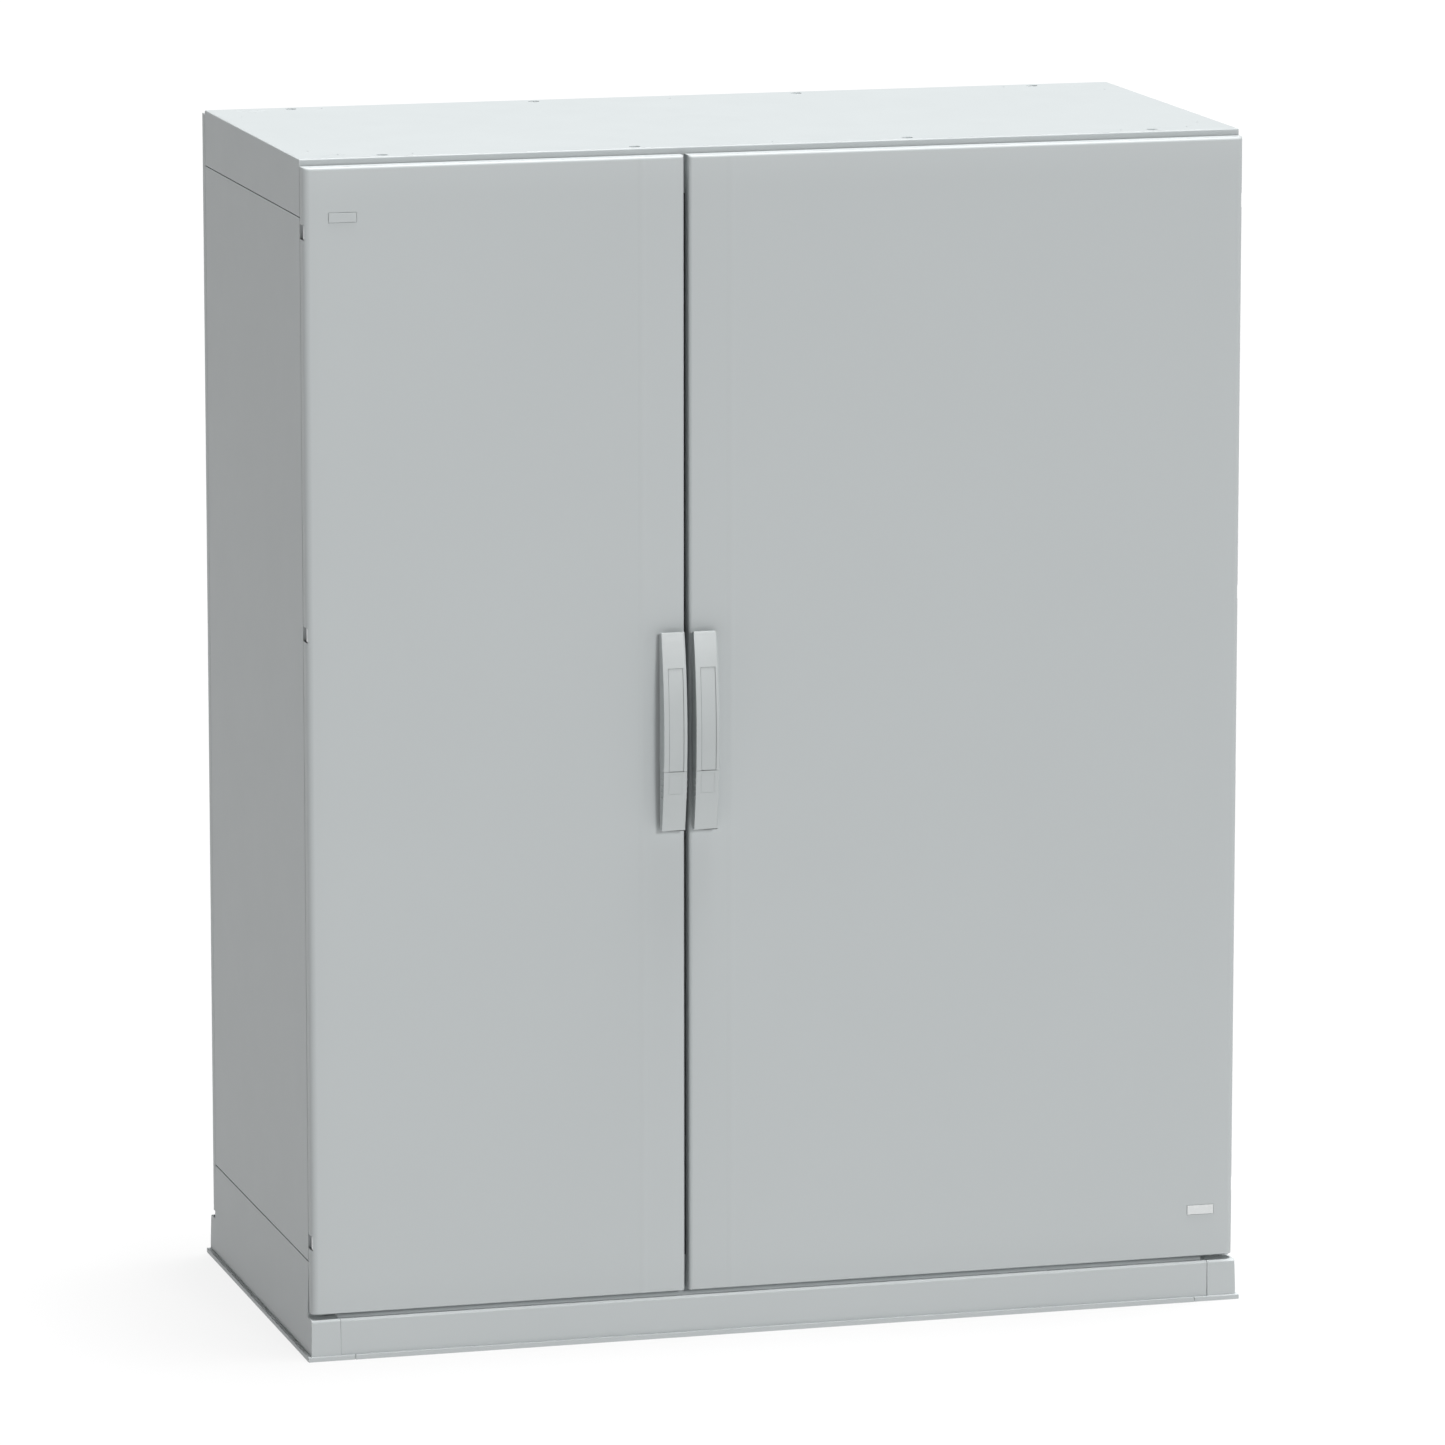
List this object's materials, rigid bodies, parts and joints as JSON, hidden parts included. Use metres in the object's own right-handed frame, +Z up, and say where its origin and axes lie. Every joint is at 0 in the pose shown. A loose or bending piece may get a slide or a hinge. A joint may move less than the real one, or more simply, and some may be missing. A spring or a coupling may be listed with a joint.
{
  "type": "industrial switchboard cabinet",
  "caption": "Floor-standing moulded enclosure with unequal hinged doors, swing handles and rod locks, for housing low-voltage switchgear on a mounting plate.",
  "frame": {"origin": "centre of the whole footprint, on the floor", "axes": "+Z up, +X to the right of someone facing the doors, doors towards -Y"},
  "size_m": [1.2648, 0.64, 1.5574],
  "materials": {
    "moulded_polyester": "satin moulded glass-reinforced polyester, light grey",
    "seal_rubber": "matt foam rubber",
    "earth_copper": "copper bar, clean",
    "grey_plastic": "moulded plastic",
    "label_plastic": "plain white label",
    "handle_coat": "light grey coated die casting",
    "lock_chrome": "bright plated",
    "painted_steel": "light grey powder coat",
    "plated_steel": "zinc plated steel"
  },
  "bodies": {
    "cabinet": {"roof_panel": "moulded_polyester", "roof_bolt_caps": "grey_plastic", "side_panel_left": "moulded_polyester", "side_panel_right": "moulded_polyester", "base_side_left": "moulded_polyester", "base_side_right": "moulded_polyester", "plinth_front_panel": "moulded_polyester", "plinth_rear_panel": "moulded_polyester", "front_sill": "painted_steel", "rear_sill": "painted_steel", "floor_panel": "painted_steel", "gland_plate_left": "plated_steel", "gland_plate_right": "plated_steel", "gland_plate_screws": "plated_steel", "rear_panel": "moulded_polyester", "rear_panel_seal": "seal_rubber", "centre_post": "painted_steel", "left_door_seal": "seal_rubber", "right_door_seal": "seal_rubber", "mounting_plate": "plated_steel", "plate_brackets": "plated_steel", "plate_bolts": "plated_steel", "din_rails": "plated_steel", "earth_bar": "earth_copper", "earth_bar_feet": "grey_plastic", "hinge_brackets": "plated_steel", "hinge_pins": "plated_steel", "rod_strikers": "plated_steel"},
    "left_door": {"left_door_panel": "moulded_polyester", "left_door_plate": "moulded_polyester", "left_door_stiffener": "painted_steel", "left_hinge_leaves": "plated_steel", "left_handle_base": "handle_coat", "left_lock_case": "plated_steel", "left_rod_guides": "grey_plastic"},
    "left_handle_hub": {"left_handle_hub": "plated_steel", "left_drive_pinion": "plated_steel"},
    "left_handle": {"left_handle_lever": "handle_coat", "left_handle_label": "handle_coat", "left_tilt_pin": "plated_steel"},
    "left_lock_cover": {"left_lock_cover": "handle_coat"},
    "left_key": {"left_key_plug": "lock_chrome"},
    "left_upper_rod": {"left_upper_rod": "plated_steel"},
    "left_lower_rod": {"left_lower_rod": "plated_steel"},
    "right_door": {"right_door_panel": "moulded_polyester", "right_door_plate": "label_plastic", "right_door_stiffener": "painted_steel", "right_hinge_leaves": "plated_steel", "right_handle_base": "handle_coat", "right_lock_case": "plated_steel", "right_rod_guides": "grey_plastic"},
    "right_handle_hub": {"right_handle_hub": "plated_steel", "right_drive_pinion": "plated_steel"},
    "right_handle": {"right_handle_lever": "handle_coat", "right_handle_label": "handle_coat", "right_tilt_pin": "plated_steel"},
    "right_lock_cover": {"right_lock_cover": "handle_coat"},
    "right_key": {"right_key_plug": "lock_chrome"},
    "right_upper_rod": {"right_upper_rod": "plated_steel"},
    "right_lower_rod": {"right_lower_rod": "plated_steel"}
  },
  "joints": [
    {"name": "left_door_hinge", "type": "hinge", "parent": "cabinet", "child": "left_door", "pos_m": [-0.619, -0.2828, 0.8], "axis": [0, 0, -1], "range_deg": [0, 105]},
    {"name": "left_handle_turn", "type": "hinge", "parent": "left_door", "child": "left_handle_hub", "pos_m": [-0.1462, -0.292, 0.921], "axis": [0, 1, 0], "range_deg": [0, 90]},
    {"name": "left_handle_tilt", "type": "hinge", "parent": "left_handle_hub", "child": "left_handle", "pos_m": [-0.1462, -0.2995, 0.928], "axis": [-1, 0, 0], "range_deg": [0, 30]},
    {"name": "left_cover_slide", "type": "slide", "parent": "left_handle", "child": "left_lock_cover", "axis": [0, 0.1305, -0.9914], "range_m": [0, 0.025]},
    {"name": "left_key_turn", "type": "hinge", "parent": "left_handle", "child": "left_key", "pos_m": [-0.1462, -0.302, 0.735], "axis": [0, 1, 0], "range_deg": [0, 90]},
    {"name": "left_upper_rod_slide", "type": "slide", "parent": "left_door", "child": "left_upper_rod", "axis": [0, 0, -1], "range_m": [0, 0.00943]},
    {"name": "left_lower_rod_slide", "type": "slide", "parent": "left_door", "child": "left_lower_rod", "axis": [0, 0, 1], "range_m": [0, 0.00943]},
    {"name": "right_door_hinge", "type": "hinge", "parent": "cabinet", "child": "right_door", "pos_m": [0.619, -0.2828, 0.8], "axis": [0, 0, 1], "range_deg": [0, 105]},
    {"name": "right_handle_turn", "type": "hinge", "parent": "right_door", "child": "right_handle_hub", "pos_m": [-0.1031, -0.292, 0.921], "axis": [0, -1, 0], "range_deg": [0, 90]},
    {"name": "right_handle_tilt", "type": "hinge", "parent": "right_handle_hub", "child": "right_handle", "pos_m": [-0.1031, -0.2995, 0.928], "axis": [-1, 0, 0], "range_deg": [0, 30]},
    {"name": "right_cover_slide", "type": "slide", "parent": "right_handle", "child": "right_lock_cover", "axis": [0, 0.1305, -0.9914], "range_m": [0, 0.025]},
    {"name": "right_key_turn", "type": "hinge", "parent": "right_handle", "child": "right_key", "pos_m": [-0.1031, -0.302, 0.735], "axis": [0, 1, 0], "range_deg": [0, 90]},
    {"name": "right_upper_rod_slide", "type": "slide", "parent": "right_door", "child": "right_upper_rod", "axis": [0, 0, -1], "range_m": [0, 0.00943]},
    {"name": "right_lower_rod_slide", "type": "slide", "parent": "right_door", "child": "right_lower_rod", "axis": [0, 0, 1], "range_m": [0, 0.00943]}
  ],
  "couplings": [
    {"joint": "left_upper_rod_slide", "follows": "left_handle_turn", "m_per_rad": 0.006},
    {"joint": "left_lower_rod_slide", "follows": "left_handle_turn", "m_per_rad": 0.006},
    {"joint": "right_upper_rod_slide", "follows": "right_handle_turn", "m_per_rad": 0.006},
    {"joint": "right_lower_rod_slide", "follows": "right_handle_turn", "m_per_rad": 0.006}
  ]
}
